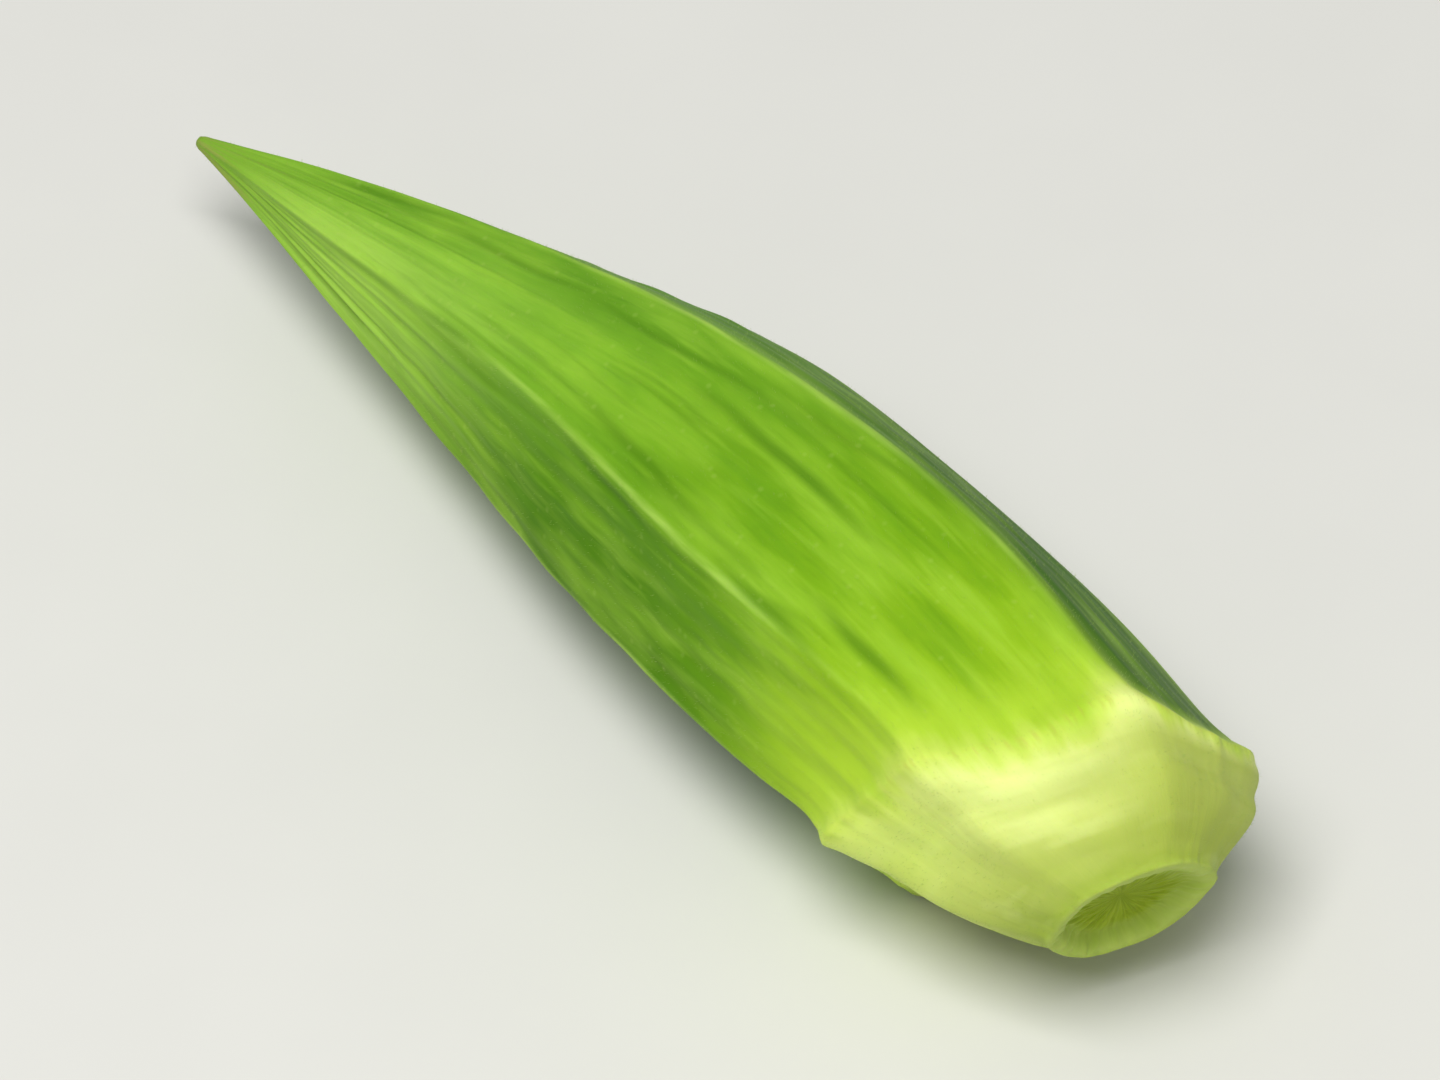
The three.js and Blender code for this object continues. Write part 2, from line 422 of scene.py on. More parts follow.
def cross_section(share, distance):
    """Angle, scale of the radius, shift along the pod, share of the way across the face, and the face."""
    faces = len(RIDGE_ANGLES)
    face = np.minimum((share * faces).astype(int), faces - 1)
    across = share * faces - face
    start = ridge_angle(face, distance)
    angle = start + (ridge_angle(face + 1, distance) - start) * across
    hollow = np.hypot(np.sin(math.pi * across), RIDGE_ROUND) - RIDGE_ROUND
    hollow /= math.hypot(1, RIDGE_ROUND) - RIDGE_ROUND
    ring_near = hill(distance, RING_AT, RING_REACH)
    heights = np.array(RIDGE_HEIGHTS)
    height = heights[face] + (heights[(face + 1) % faces] - heights[face]) * across
    scale = (
        1 + (height + RING_CORNER * ring_near) * (1 - hollow)
        - run_through(FACE_DEPTHS, distance) * hollow
        + run_through(RIB_HEIGHTS, distance) * hill(across, 0.5, RIB_WIDTH)
    )
    slant = np.cos(np.radians(angle - SLANT_TOWARDS))
    sag = hill((angle - SAG_TOWARDS + 180) % 360 - 180, 0, SAG_WIDTH)
    shift = (
        RING_WAVE * (hollow - 0.5) * ring_near
        + run_through(SLANTS, distance) * slant
        + run_through(SAGS, distance) * sag
    )
    return np.radians(angle), scale, shift, across, face


# --- Centre line ---------------------------------------------------------------------------


def centre_line(distance):
    """Points of the centre line and its rise per millimetre, at these distances from the tip."""
    walked = np.arange(0, POD_LENGTH + 2 * LINE_STEP, LINE_STEP)
    heading = np.radians(run_through(HEADINGS, walked + LINE_STEP / 2))
    x = np.concatenate([[0], np.cumsum(np.cos(heading) * LINE_STEP)[:-1]])
    y = np.concatenate([[0], np.cumsum(np.sin(heading) * LINE_STEP)[:-1]])
    z = run_through(HEIGHTS, walked)
    rise = np.gradient(z, LINE_STEP)
    return [np.interp(distance, walked, values) for values in (x, y, z, rise)]


def place_on_pod(angle, radius, distance):
    """Points of the straight pod in their places on the bowed one."""
    x, y, z, rise = centre_line(distance)
    heading = np.radians(run_through(HEADINGS, distance) + run_through(SECTION_TURNS, distance))
    dip = np.tan(np.radians(run_through(SECTION_DIPS, distance)))
    forward = np.stack([np.cos(heading), np.sin(heading), rise + dip], axis=-1)
    forward /= np.linalg.norm(forward, axis=-1, keepdims=True)
    sideways = np.cross([0.0, 0.0, 1.0], forward)
    sideways /= np.linalg.norm(sideways, axis=-1, keepdims=True)
    upward = np.cross(forward, sideways)
    centre = np.stack([x, y, z], axis=-1)
    above = (radius * np.cos(angle))[..., None]
    beside = (radius * np.sin(angle))[..., None]
    return centre + upward * above + sideways * beside


# --- The fine pod --------------------------------------------------------------------------


def groove_marks(place, distance, radius):
    """Creases and slim grooves along the skin: 1 in the middle of a crease, 0 away from all of them.

    The place round the pod is counted in faces, from the first ridge.
    """
    faces = len(RIDGE_ANGLES)
    face_width = radius * 2 * math.pi / faces

    def mark(middle, centre, half, width):
        """A hill that runs along the skin round this centre, half its length each way."""
        aside = (place - middle + faces / 2) % faces - faces / 2
        return hill(distance, centre, half) * hill(aside * face_width, 0, width)

    marks = np.zeros(place.shape)
    for middle, start, end in CREASES:
        drift = CREASE_DRIFT * (distance - start) + CREASE_WAVE * np.sin(CREASE_WAVE_TURN * distance)
        marks = np.maximum(marks, mark(middle + drift, (start + end) / 2, (end - start) / 2, CREASE_WIDTH))
    draw = random.Random(GROOVE_SEED)
    for _ in range(GROOVE_COUNT):
        beside = draw.choice((-1, 1)) * draw.uniform(*GROOVE_BESIDE)
        middle = draw.randrange(faces) + (beside if draw.random() < GROOVES_BY_RIDGES else draw.random())
        half = draw.uniform(*GROOVE_LENGTH) / 2
        centre = draw.uniform(8, RING_AT - 5)
        stray = GROOVE_STRAY * np.sin(draw.uniform(0.2, 0.6) * distance + draw.uniform(0, 6))
        share = draw.uniform(*GROOVE_SHARES)
        marks = np.maximum(marks, share * mark(middle + stray, centre, half, draw.uniform(*GROOVE_WIDTH)))
    return marks * smooth(distance, 4, 10) * (1 - smooth(distance, RING_AT - 3, RING_AT - 0.8))


def body_forms(angle, edge, face, distance):
    """Millimetres to add to the body's radius: crests, furrows, side ribs, seed swells and wrinkles."""
    knots = 1 - CREST_KNOTS + CREST_KNOTS * ripples("knots", angle, distance)
    crest = CREST_HEIGHT * hill(edge, 0, CREST_WIDTH) * knots
    furrow = FURROW_DEPTH * hill(edge, FURROW_AT, FURROW_WIDTH)
    near_tip = 1 - smooth(distance, *TIP_END)
    ribs = sum(share * hill(edge, at, width) for at, share, width in SIDE_RIBS)
    ribs = ribs * (SIDE_RIB_HEIGHT + SIDE_RIB_NEAR_TIP * near_tip)
    seeds = SEED_HEIGHT * np.sin(2 * math.pi * distance / SEED_SPACING + SEED_LAG * face)
    seeds *= hill(edge, 0.5, SEED_WIDTH)
    seeds *= smooth(distance, *SEEDS_START) * (1 - smooth(distance, *SEEDS_END))
    skin = (
        SWELL_HEIGHT * ripples("swell", angle, distance)
        + WRINKLE_HEIGHT * ripples("wrinkle", angle, distance)
        + FOLD_HEIGHT * ripples("fold", angle, distance)
    )
    return crest - furrow + ribs + seeds + skin - BODY_SINK


def cap_forms(angle, edge, distance):
    """Millimetres to add to the cap's radius, but for its lumps: crests, veins and bands."""
    uneven = distance + BAND_UNEVEN * ripples("band_edge", angle, distance)
    bands = sum(height * hill(uneven, RING_AT + past, width) for past, height, width in CAP_BANDS)
    crest = CAP_CREST_HEIGHT * hill(edge, 0, CAP_CREST_WIDTH)
    return crest + VEIN_HEIGHT * ripples("vein", angle, distance) + bands


def fine_forms(angle, across, face, distance, radius):
    """Millimetres to add to the radius for the fine forms of the body, the cap and the stem."""
    edge = np.minimum(across, 1 - across)
    on_body = smooth(distance, *BODY_START) * (1 - smooth(distance, RING_AT - 1.5, RING_AT))
    on_stem = smooth(distance, STEM_AT - 1, STEM_AT + 0.4)
    on_cap = smooth(distance, RING_AT + 0.3, RING_AT + 1.2) * (1 - on_stem)
    lumps = LUMP_HEIGHT * ripples("lump", angle, distance)
    body = body_forms(angle, edge, face, distance)
    cap = cap_forms(angle, edge, distance) + lumps
    stem = (GRAIN_HEIGHT * ripples("grain", angle, distance) + lumps) * smooth(radius, 0.2, 2)
    return smooth(radius, 0.3, 4) * (on_body * body + on_cap * cap) + on_stem * stem


def ring_forms(angle, distance):
    """The ring's ragged lip: what to add to the radius, and the shift along the pod."""
    ragged = ripples("ragged", angle, distance)
    lobes = ripples("lobe", angle, distance)
    lip = hill(distance, RING_AT, LIP_REACH) * (LIP_RAGGED * ragged + LIP_LOBES * lobes)
    scar = SCAR_DEPTH * hill(distance, RING_AT - SCAR_BEFORE, SCAR_WIDTH)
    shift = hill(distance, RING_AT, LIP_SHIFT_REACH) * (LIP_SHIFT_RAGGED * ragged + LIP_SHIFT_LOBES * lobes)
    return lip - scar, shift


def cut_forms(angle, radius, distance):
    """How far the cut face stands out along the pod: its rind, its ring of fibres and its pith."""
    on_cut = smooth(distance, POD_LENGTH - CUT_DISH - 0.3, POD_LENGTH - CUT_DISH)
    share = radius / STEM_RADIUS
    rings = sum(height * hill(share, at, width) for at, height, width in CUT_RINGS)
    fibres = FIBRE_HEIGHT * ripples("fibre", angle, radius) * smooth(share, 0.1, 0.5)
    return on_cut * (rings + fibres) * (1 - smooth(share, 0.9, 0.97))


def pod_grid():
    """Rows of columns in millimetres: the pod's points, their places on a straight pod, and their marks.

    The straight place's first number is how far from the tip the skin grew, counted on across the cut face.
    The marks are the crest, which is 1 on a ridge and 0 half way across a face, and the groove.
    """
    outline = pod_outline()
    steps = len(RIDGE_ANGLES) * STEPS_PER_FACE
    share = np.arange(steps)[None, :] / steps
    distance = outline[:, :1] + 0 * share
    radius = outline[:, 1:] + 0 * share
    angle, scale, shift, across, face = cross_section(share + 0 * distance, distance)
    lip, ragged_shift = ring_forms(angle, distance)
    groove = groove_marks(face + across, distance, radius)
    outer = radius * scale + fine_forms(angle, across, face, distance, radius) + lip - CREASE_DEPTH * groove
    outer = np.where(radius > 0, outer, 0)
    along = distance + smooth(radius, 0, 1) * (shift + ragged_shift) + cut_forms(angle, radius, distance)
    points = place_on_pod(angle, outer, np.clip(along, 0, POD_LENGTH + CUT_PROUD))
    points[..., 2] = np.maximum(points[..., 2], 0)

    on_cut = np.arange(len(outline))[:, None] > ROWS_ON_BODY + ROWS_ON_CAP
    grown = distance + np.where(on_cut, np.maximum(STEM_RADIUS - radius, 0), 0)
    straight = np.stack([grown, POD_RADIUS * np.cos(angle), POD_RADIUS * np.sin(angle)], axis=-1)
    crest = 1 - np.minimum(across, 1 - across) * 2
    return points, straight, {"crest": crest, "groove": groove}


def body_faces(rows, steps):
    """Faces of a closed body whose first and last rows are one point each, turned outwards."""
    column = np.arange(steps)
    following = (column + 1) % steps
    first = 1 + np.arange(rows - 3)[:, None] * steps
    sides = [first + column, first + steps + column, first + steps + following, first + following]
    end = 1 + (rows - 2) * steps
    tip = [0 * column, 1 + column, 1 + following]
    stem = [end - steps + column, end + 0 * column, end - steps + following]
    faces = [np.stack(sides, axis=-1).reshape(-1, 4), np.stack(tip, axis=-1), np.stack(stem, axis=-1)]
    return [face for group in faces for face in group.tolist()]


def as_points(grid):
    """A grid of rows and columns as one list, with its first and last rows as one point each."""
    flat = grid[1:-1].reshape(-1, *grid.shape[2:])
    return np.concatenate([grid[:1, 0], flat, grid[-1:, 0]])


def make_mesh(name, points, faces, material):
    """A smooth mesh object from points in millimetres."""
    mesh = bpy.data.meshes.new(name)
    mesh.from_pydata((points * MM).tolist(), [], faces)
    mesh.shade_smooth()
    mesh.materials.append(material)
    piece = bpy.data.objects.new(name, mesh)
    bpy.context.scene.collection.objects.link(piece)
    return piece


def cad_tip():
    """The point of the CAD pod that is furthest towards -X, in millimetres."""
    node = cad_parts["okra_pod"]
    corners = [node.matrix_world @ corner.co for corner in node.data.vertices]
    return np.array(min(corners, key=lambda corner: corner.x)) / MM


def build_skin(grid, straight, marks, material):
    """The pod's fine mesh, with the marks that its skin's colours read."""
    piece = make_mesh("okra_pod_skin", as_points(grid), body_faces(*grid.shape[:2]), material)
    place = piece.data.attributes.new("straight", "FLOAT_VECTOR", "POINT")
    place.data.foreach_set("vector", as_points(straight).ravel())
    for name, values in marks.items():
        mark = piece.data.attributes.new(name, "FLOAT", "POINT")
        mark.data.foreach_set("value", as_points(values))
    return piece


# --- Fuzz ----------------------------------------------------------------------------------


def unit(vectors):
    """These vectors at length 1."""
    return vectors / np.linalg.norm(vectors, axis=-1, keepdims=True)


def hair_chances(area, grown, height, crest):
    """The chance that a hair grows on each facet of the skin."""
    on_crests = HAIR_ON_CRESTS * hill(crest, 1, 0.12)
    on_cap = HAIR_ON_CAP * hill(grown, RING_AT + 3, 4)
    density = area * (HAIR_DENSITY + on_crests + on_cap)
    density *= 1 - smooth(grown, POD_LENGTH - 0.2, POD_LENGTH)
    density *= height > HAIR_CLEAR
    return (density / density.sum()).ravel()


def build_fuzz(grid, straight, crest, material):
    """Short soft hairs all over the skin: each one a bent three-sided spike rooted in it."""
    draw = np.random.default_rng(HAIR_SEED)
    corner = grid[:-1]
    across = np.roll(grid, -1, axis=1)[:-1] - corner
    forward = grid[1:] - corner
    normal = np.cross(forward, across)
    area = np.linalg.norm(normal, axis=-1)
    chances = hair_chances(area, straight[:-1, :, 0], corner[..., 2], crest[:-1])
    chosen = draw.choice(chances.size, HAIR_COUNT, p=chances)

    def pick(values):
        return values.reshape(-1, 3)[chosen]

    place = draw.random((2, HAIR_COUNT, 1))
    root = pick(corner) + place[0] * pick(across) + place[1] * pick(forward)
    out = unit(pick(normal))
    tipward = -unit(pick(forward))
    lean = tipward * draw.uniform(*HAIR_LEAN, (HAIR_COUNT, 1)) + draw.normal(0, HAIR_STRAY, (HAIR_COUNT, 3))
    aim = unit(out + lean)
    bend = draw.normal(0, HAIR_BEND, (HAIR_COUNT, 3)) + HAIR_BEND_TIPWARD * tipward
    length = draw.uniform(*HAIR_LENGTH, (HAIR_COUNT, 1))
    thick = HAIR_RADIUS * draw.uniform(*HAIR_THICKNESS, (HAIR_COUNT, 1))

    side = unit(np.cross(aim, tipward + 0.3 * out))
    other = np.cross(aim, side)
    foot = root - out * HAIR_ROOT
    middle = root + aim * length * HAIR_BEND_AT
    end = root + (aim + bend) * length
    points = []
    for centre, width in ((foot, thick), (middle, thick * HAIR_TAPER)):
        for turn in (0, 2 * math.pi / 3, 4 * math.pi / 3):
            points.append(centre + width * (side * math.cos(turn) + other * math.sin(turn)))
    points.append(end)
    first = len(points) * np.arange(HAIR_COUNT)[:, None]
    stalk = [first + np.array(pattern) for pattern in ((0, 1, 4, 3), (1, 2, 5, 4), (2, 0, 3, 5))]
    point = [first + np.array(pattern) for pattern in ((3, 4, 6), (4, 5, 6), (5, 3, 6))]
    faces = np.concatenate(stalk).tolist() + np.concatenate(point).tolist()
    return make_mesh("okra_pod_fuzz", np.stack(points, axis=1).reshape(-1, 3), faces, material)


# --- Materials -----------------------------------------------------------------------------


def linear(colour):
    """An sRGB colour of 0 to 255 as linear light."""
    parts = [part / 255 for part in colour]
    return [part / 12.92 if part < 0.04 else ((part + 0.055) / 1.055) ** 2.4 for part in parts] + [1.0]


class Paint:
    """A new node-based material, and short ways to add its nodes."""

    def __init__(self, name):
        self.material = bpy.data.materials.new(name)
        self.material.use_nodes = True
        self.tree = self.material.node_tree
        self.shader = self.tree.nodes["Principled BSDF"]

    def node(self, kind, inputs=(), **settings):
        """A node with its settings, and values or links on its numbered or named inputs."""
        made = self.tree.nodes.new(kind)
        for name, value in settings.items():
            setattr(made, name, value)
        for key, value in dict(inputs).items():
            self.put(made.inputs[key], value)
        return made

    def put(self, socket, value):
        """Sets a socket to a value, or links it to another node's output."""
        if isinstance(value, bpy.types.NodeSocket):
            self.tree.links.new(value, socket)
        else:
            socket.default_value = value

    def mark(self, name, output="Fac"):
        """What the mesh says of a point, such as its place on a straight pod."""
        return self.node("ShaderNodeAttribute", attribute_name=name).outputs[output]

    def as_material(self, values):
        """The material, with these values or links on its shader."""
        for name, value in values.items():
            self.put(self.shader.inputs[name], value)
        return self.material

    def math(self, operation, first, second=0.0, third=0.0):
        """What a math node makes of these values."""
        inputs = {0: first, 1: second, 2: third}
        return self.node("ShaderNodeMath", inputs, operation=operation).outputs[0]

    def times(self, *values):
        """The product of these values."""
        product = values[0]
        for value in values[1:]:
            product = self.math("MULTIPLY", product, value)
        return product

    def vector(self, x, y, z):
        """A vector from its three parts."""
        return self.node("ShaderNodeCombineXYZ", {0: x, 1: y, 2: z}).outputs[0]

    def noise(self, vector, scale, detail=3.0):
        """Soft noise of 0 to 1, with its middle at 0.5."""
        inputs = {"Vector": vector, "Scale": scale, "Detail": detail, "Roughness": NOISE_ROUGHNESS}
        return self.node("ShaderNodeTexNoise", inputs).outputs["Fac"]

    def cells(self, vector, scale):
        """How far each place is from the nearest of many scattered points."""
        return self.node("ShaderNodeTexVoronoi", {"Vector": vector, "Scale": scale}).outputs["Distance"]

    def spread(self, value, low, high, to_low=0.0, to_high=1.0):
        """Maps low to high onto to_low to to_high, held at both ends."""
        inputs = {0: value, 1: low, 2: high, 3: to_low, 4: to_high}
        return self.node("ShaderNodeMapRange", inputs, clamp=True).outputs[0]

    def ramp(self, value, stops):
        """A colour ramp through (place, sRGB colour) stops."""
        made = self.node("ShaderNodeValToRGB", {0: value})
        elements = made.color_ramp.elements
        while len(elements) < len(stops):
            elements.new(0.5)
        for element, (place, colour) in zip(elements, stops):
            element.position = place
            element.color = linear(colour)
        return made.outputs["Color"]

    def mix(self, share, first, second):
        """The first colour with a share of the second."""
        made = self.node("ShaderNodeMix", data_type="RGBA")
        for index, value in ((0, share), (6, first), (7, second)):
            self.put(made.inputs[index], value)
        return made.outputs[2]


class SkinPaint(Paint):
    """Paint for the pod's skin, with the places, marks and noises that its colours are laid on by."""

    def __init__(self):
        super().__init__("okra_skin")
        # How far from the tip the skin grew, and the place round the pod, in millimetres.
        straight = self.node("ShaderNodeSeparateXYZ", {0: self.mark("straight", "Vector")})
        self.grown, self.above, self.beside = straight.outputs
        self.crest = self.mark("crest")
        self.groove = self.mark("groove")

        # Noises by the place in metres, then by the straight one in millimetres, drawn out along the pod.
        place = self.node("ShaderNodeTexCoord").outputs["Object"]
        self.mottle = self.noise(place, 420, 4.0)
        self.cloud = self.noise(place, 110, 2.0)
        self.pores = self.cells(place, 900)
        self.spots = self.cells(place, 95)
        self.broad = self.along(0.22, 0.34)
        self.streaks = self.along(0.12, 0.9)
        self.fine = self.along(0.12, 3.2, 4.0)

        # Where the skin grew, with borders that stray far on the body, and little at the ring.
        self.ragged = self.math("ADD", self.grown, self.astray(18.0, 18.0))
        on_ridge = self.spread(self.crest, 0.55, 1.0, -0.3, 0.9)
        paler = self.times(on_ridge, self.spread(self.grown, 58.0, 67.0))
        uneven = self.math("ADD", self.astray(2.6, 4.0), paler)
        calm = self.spread(self.grown, 70.6, 73.0, 1.0, 0.1)
        self.near = self.math("MULTIPLY_ADD", uneven, calm, self.grown)
        before_ring = self.spread(self.grown, 64.0, 69.6, 1.0, 0.15)
        self.body = self.times(self.spread(self.grown, 3.0, 12.0), before_ring)

    def along(self, stretch, scale, detail=3.0):
        """Noise drawn out along the pod."""
        place = self.vector(self.times(self.grown, stretch), self.above, self.beside)
        return self.noise(place, scale, detail)

    def astray(self, by_streaks, by_blotches):
        """Millimetres that a border strays by the streaks and by the broad blotches."""
        streaks = self.times(self.math("SUBTRACT", self.streaks, 0.5), by_streaks)
        blotches = self.times(self.math("SUBTRACT", self.broad, 0.5), by_blotches)
        return self.math("ADD", streaks, blotches)

    def growth(self):
        """The colour by where the skin grew."""
        held = self.spread(self.grown, 54.0, 68.0)
        inputs = {0: held, 2: self.ragged, 3: self.near}
        where = self.node("ShaderNodeMix", inputs, data_type="FLOAT").outputs[0]
        stops = [(at / SKIN_LENGTH, tint) for at, tint in SKIN_COLOURS]
        return self.ramp(self.math("DIVIDE", where, SKIN_LENGTH), stops)


def side_tints(skin):
    """Painted shade deepens the green on the left flank, its underside, the right side and the tip's top,
    and painted light pales the tip's left.
    """
    # Painted shade on the left flank and, deeper, on its underside.
    left = skin.spread(skin.beside, -2.0, -5.0)
    belly = skin.times(skin.spread(skin.ragged, 18.0, 36.0), skin.spread(skin.grown, 46.0, 62.0, 1.0, 0.0))
    shade = skin.times(skin.spread(skin.above, 8.4, 5.2, 0.0, 0.8), left)
    painted_shade_under = skin.times(skin.spread(skin.above, 4.5, -1.0, 0.0, 0.65), left)

    # The border of the right side's painted shade runs outwards along the pod.
    outwards = skin.math("MULTIPLY_ADD", skin.math("SUBTRACT", skin.grown, 40.0), -0.03, skin.beside)
    right = skin.times(skin.spread(skin.ragged, 22.0, 42.0), skin.spread(skin.grown, 68.0, 69.8, 1.0, 0.0))
    upwards = skin.spread(skin.above, 0.0, 4.0, 0.4, 1.0)

    # Painted light on the tip's left, and painted shade on its top.
    painted_light_flank = skin.times(skin.spread(skin.grown, 3.0, 14.0), skin.spread(skin.ragged, 12.0, 30.0, 1.0, 0.0))
    painted_shade_top = skin.times(skin.spread(skin.grown, 5.0, 14.0), skin.spread(skin.ragged, 34.0, 54.0, 1.0, 0.0))
    return [
        ("left_painted_shade", skin.times(skin.body, belly, shade)),
        ("left_underside_painted_shade", skin.times(skin.body, belly, painted_shade_under)),
        ("right_side_painted_shade", skin.times(right, skin.spread(outwards, 2.2, 4.8, 0.0, 0.95), upwards)),
        ("left_of_tip_painted_light", skin.times(painted_light_flank, skin.spread(skin.beside, -2.0, -6.5, 0.0, 0.6))),
        ("top_of_tip_painted_shade", skin.times(painted_shade_top, skin.spread(skin.beside, -2.5, 1.5, 0.0, 0.72))),
    ]


def body_tints(skin):
    """Blotches, streaks, a painted highlight along each ridge, painted shade in the creases, pores and a
    few brown spots.
    """
    from_middle = skin.math("ABSOLUTE", skin.math("SUBTRACT", skin.grown, 44.0))
    # A painted highlight along each ridge, strongest in the middle of the pod.
    painted_ridge_highlight = skin.times(skin.spread(skin.crest, 0.935, 0.985), skin.spread(from_middle, 19.0, 9.0, 0.2, 0.9))
    spots = skin.times(skin.spread(skin.spots, 0.035, 0.015), skin.spread(skin.cloud, 0.52, 0.6, 0.0, 0.5))
    shares = {
        "pale_blotch": skin.spread(skin.broad, 0.46, 0.72, 0.0, 0.55),
        "deep_blotch": skin.spread(skin.broad, 0.50, 0.28, 0.0, 0.45),
        "pale_streak": skin.spread(skin.streaks, 0.54, 0.74, 0.0, 0.26),
        "deep_streak": skin.spread(skin.streaks, 0.44, 0.26, 0.0, 0.26),
        "fine_streak": skin.spread(skin.fine, 0.45, 0.30, 0.0, 0.10),
        "crest": skin.times(painted_ridge_highlight, skin.spread(skin.streaks, 0.40, 0.58, 0.25, 0.75)),
        # Painted shade in the creases and grooves.
        "groove": skin.spread(skin.groove, 0.1, 0.9, 0.0, 0.6),
    }
    return [(name, skin.times(skin.body, share)) for name, share in shares.items()] + [
        ("mottle", skin.spread(skin.mottle, 0.35, 0.65, 0.06, 0.0)),
        ("pore", skin.times(skin.body, skin.spread(skin.pores, 0.20, 0.08, 0.0, 0.10))),
        ("spot", skin.times(skin.body, spots)),
    ]


def cap_tints(skin):
    """A little brown on the ring, soft bands round the cap, painted shade on its right side, a paler left
    side before the ring, and painted light on the cap's left.
    """
    on_ring = skin.spread(skin.math("ABSOLUTE", skin.math("SUBTRACT", skin.grown, RING_AT)), 0.5, 0.1)
    round_cap = skin.vector(skin.grown, skin.times(skin.above, 0.16), skin.times(skin.beside, 0.16))
    bands = skin.noise(round_cap, 0.6, 2.0)
    cap = skin.times(skin.spread(skin.grown, 70.2, 71.6), skin.spread(skin.grown, 79.2, 77.6))
    left = skin.times(skin.spread(skin.beside, -3.0, -7.0, 0.0, 0.6), skin.spread(skin.above, 8.4, 4.5))
    before = skin.times(skin.spread(skin.grown, 56.0, 68.0), skin.spread(skin.near, 70.6, 67.6))
    after = skin.times(skin.spread(skin.near, 67.8, 71.0), skin.spread(skin.grown, 77.5, 73.0))
    return [
        ("scar", skin.times(on_ring, skin.spread(skin.fine, 0.50, 0.66, 0.0, 0.22))),
        ("deep_band", skin.times(cap, skin.spread(bands, 0.52, 0.34, 0.0, 0.45))),
        ("pale_band", skin.times(cap, skin.spread(bands, 0.50, 0.70, 0.0, 0.45))),
        # Painted shade on the cap's right side.
        ("right_of_cap_painted_shade", skin.times(cap, skin.spread(skin.beside, -4.0, 4.0, 0.0, 0.7))),
        ("left_of_ring", skin.times(left, before)),
        # Painted light on the cap's left.
        ("left_of_cap_painted_light", skin.times(left, after)),
    ]


def cut_tints(skin):
    """Rays of paler and darker fibre on the cut face."""
    on_cut = skin.spread(skin.grown, 79.5, 80.3)
    rays = skin.along(0.35, 1.3)
    return [
        ("deep_ray", skin.times(on_cut, skin.spread(rays, 0.50, 0.34, 0.0, 0.45))),
        ("pale_ray", skin.times(on_cut, skin.spread(rays, 0.52, 0.68, 0.0, 0.40))),
    ]


def skin_paint():
    """Green skin that pales towards the cap, with a fibrous cut face and a satin, finely pitted surface."""
    skin = SkinPaint()
    colour = skin.growth()
    for tints in (side_tints, body_tints, cap_tints, cut_tints):
        for name, share in tints(skin):
            colour = skin.mix(share, colour, linear(TINTS[name]))
    relief = skin.math("MULTIPLY_ADD", skin.fine, 0.5, skin.times(skin.mottle, 0.5))
    relief = skin.math("MULTIPLY_ADD", skin.spread(skin.pores, 0.05, 0.3), 0.25, relief)
    bump = skin.node("ShaderNodeBump", {"Strength": 0.5, "Distance": 0.00007, "Height": relief})
    return skin.as_material({
        "Base Color": colour,
        "Roughness": skin.spread(skin.streaks, 0.3, 0.7, 0.44, 0.56),
        "Normal": bump.outputs[0],
        "Subsurface Weight": 0.15,
        "Subsurface Radius": (0.5, 1.0, 0.1),
        "Subsurface Scale": 0.0012,
        "Specular IOR Level": 0.08,
    })


def fuzz_paint():
    """Pale matt hairs."""
    paint = Paint("okra_fuzz")
    place = paint.node("ShaderNodeTexCoord").outputs["Object"]
    deep, pale = (linear(tint) for tint in HAIR_TINTS)
    colour = paint.mix(paint.noise(place, 300), deep, pale)
    return paint.as_material({"Base Color": colour, "Roughness": 0.6})


def floor_paint():
    """Plain matt white, with the faintest grain."""
    paint = Paint("floor_white")
    place = paint.node("ShaderNodeTexCoord").outputs["Object"]
    grain = paint.spread(paint.noise(place, 60), 0.3, 0.7)
    deep, pale = (linear(tint) for tint in FLOOR_TINTS)
    return paint.as_material({
        "Base Color": paint.mix(grain, deep, pale),
        "Roughness": 0.9,
        "Specular IOR Level": 0.2,
    })


# --- Camera, light and floor ---------------------------------------------------------------


def looking(azimuth, elevation):
    """Right, up and forward of an eye that looks from there: 0 looks along +Y."""
    turn = math.radians(azimuth)
    dip = math.radians(elevation)
    level = math.cos(dip)
    right = Vector((math.cos(turn), math.sin(turn), 0))
    forward = Vector((-math.sin(turn) * level, math.cos(turn) * level, -math.sin(dip)))
    return right, right.cross(forward), forward


def seen_middle(points, direction):
    """Metres along a direction from the middle of the pod's box to the middle of its picture."""
    seen = points @ np.array(direction)
    box = points.max(axis=0) + points.min(axis=0)
    return float(seen.max() + seen.min() - box @ np.array(direction)) / 2 * MM


def make_camera(middle, points):
    """A camera that has the middle of the pod's picture in the middle of its frame."""
    right, up, forward = looking(CAMERA_AZIMUTH, CAMERA_ELEVATION)
    target = middle + seen_middle(points, right) * right + seen_middle(points, up) * up
    data = bpy.data.cameras.new("view")
    data.sensor_width = CAMERA_SENSOR
    data.lens = CAMERA_LENS
    data.clip_start, data.clip_end = CAMERA_CLIP
    camera = bpy.data.objects.new("view", data)
    camera.location = target - forward * CAMERA_DISTANCE
    camera.rotation_mode = "QUATERNION"
    camera.rotation_quaternion = forward.to_track_quat("-Z", "Y")
    bpy.context.scene.collection.objects.link(camera)
    bpy.context.scene.camera = camera


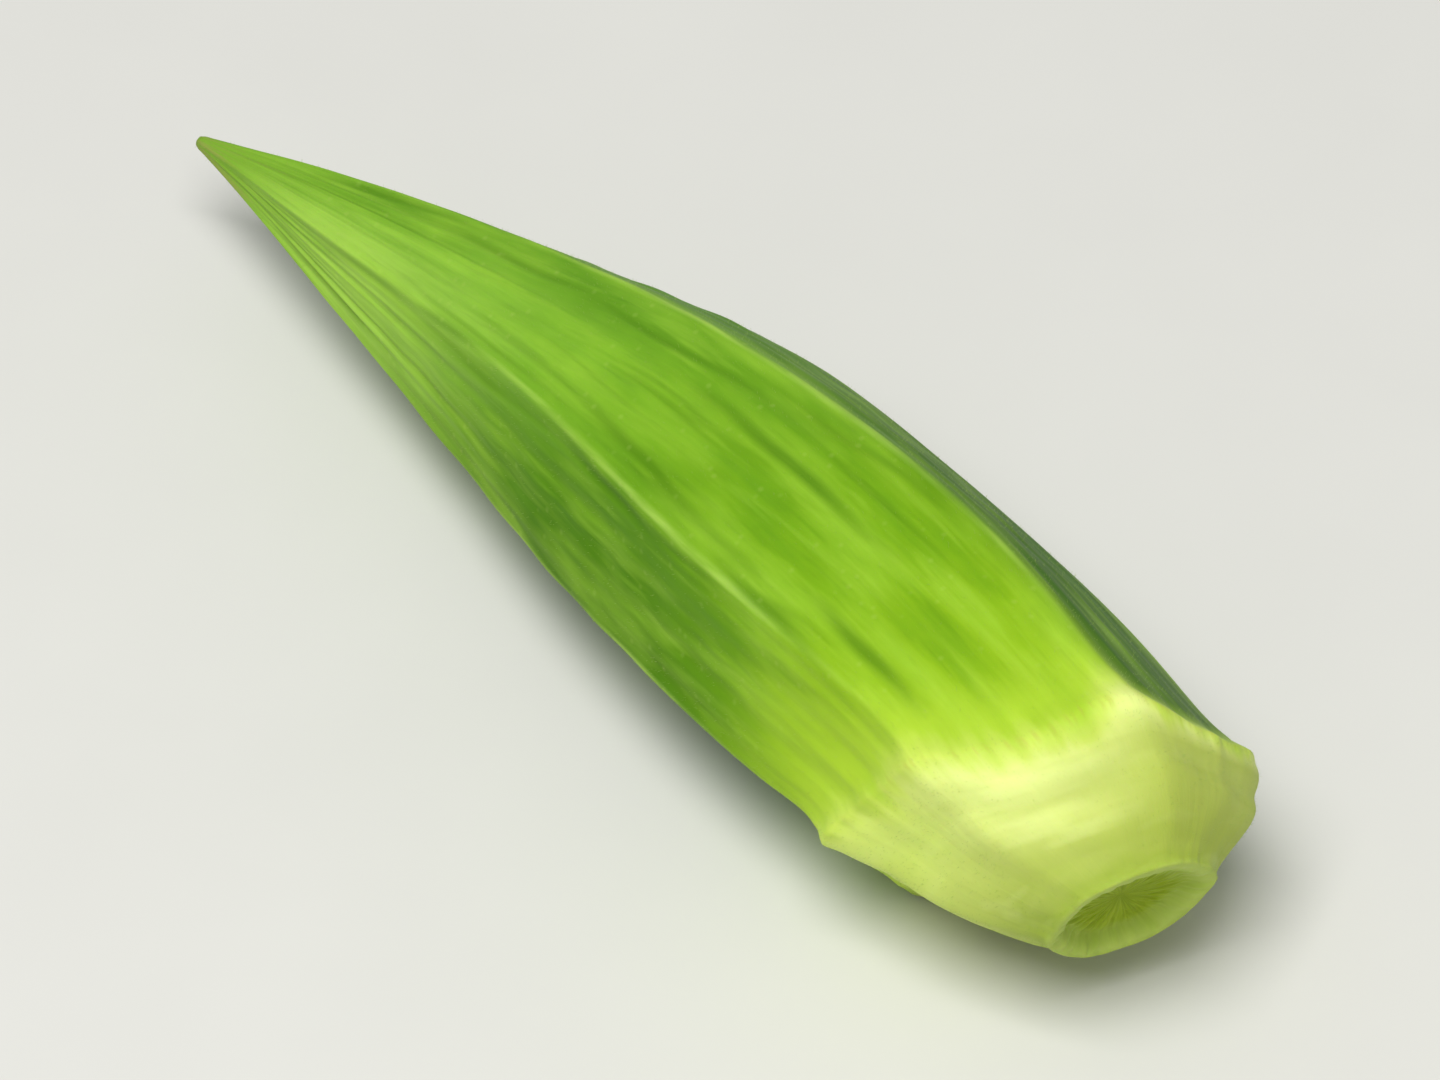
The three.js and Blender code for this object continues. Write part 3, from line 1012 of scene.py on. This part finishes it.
def make_key_light(middle):
    """A square soft light that shines at the middle from above."""
    right, up, away = looking(CAMERA_AZIMUTH, 0)
    offset = KEY_RIGHT * right + KEY_AWAY * away + KEY_UP * up
    data = bpy.data.lights.new("key", "AREA")
    data.size = KEY_SIZE
    data.energy = KEY_POWER
    data.color = KEY_COLOUR
    light = bpy.data.objects.new("key", data)
    light.location = middle + offset
    light.rotation_mode = "QUATERNION"
    light.rotation_quaternion = (-offset).to_track_quat("-Z", "Y")
    bpy.context.scene.collection.objects.link(light)


def make_world():
    """A white room: weak as a light, bright where it is seen."""
    world = bpy.data.worlds.new("white_room")
    world.use_nodes = True
    tree = world.node_tree
    fill = tree.nodes["Background"]
    seen = tree.nodes.new("ShaderNodeBackground")
    for room, colour, strength in ((fill, FILL_COLOUR, FILL_STRENGTH), (seen, SEEN_COLOUR, SEEN_STRENGTH)):
        room.inputs["Color"].default_value = colour
        room.inputs["Strength"].default_value = strength
    path = tree.nodes.new("ShaderNodeLightPath")
    either = tree.nodes.new("ShaderNodeMixShader")
    tree.links.new(path.outputs["Is Camera Ray"], either.inputs[0])
    tree.links.new(fill.outputs[0], either.inputs[1])
    tree.links.new(seen.outputs[0], either.inputs[2])
    tree.links.new(either.outputs[0], tree.nodes["World Output"].inputs["Surface"])
    bpy.context.scene.world = world


def make_floor():
    """A plain level floor, a hair's breadth below the pod."""
    half = FLOOR_SIZE / 2
    corners = np.array([(-half, -half, 0), (half, -half, 0), (half, half, 0), (-half, half, 0)]) / MM
    floor = make_mesh("floor", corners, [(0, 1, 2, 3)], floor_paint())
    floor.location.z = -FLOOR_GAP
    return floor


def set_view():
    """Colours as the materials give them, with no film look."""
    view = bpy.context.scene.view_settings
    view.view_transform = "Standard"
    view.look = "None"
    view.exposure = 0.0
    view.gamma = 1.0


# --- The whole -----------------------------------------------------------------------------

grid, straight, marks = pod_grid()
grid += cad_tip() - grid[0, 0]
skin = build_skin(grid, straight, marks, skin_paint())
fuzz = build_fuzz(grid, straight, marks["crest"], fuzz_paint())
floor = make_floor()

low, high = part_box("okra_pod")
middle = (low + high) / 2
make_camera(middle, grid.reshape(-1, 3))
make_key_light(middle)
make_world()
set_view()

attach(skin, "root")
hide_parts("okra_pod")
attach(fuzz, "root")
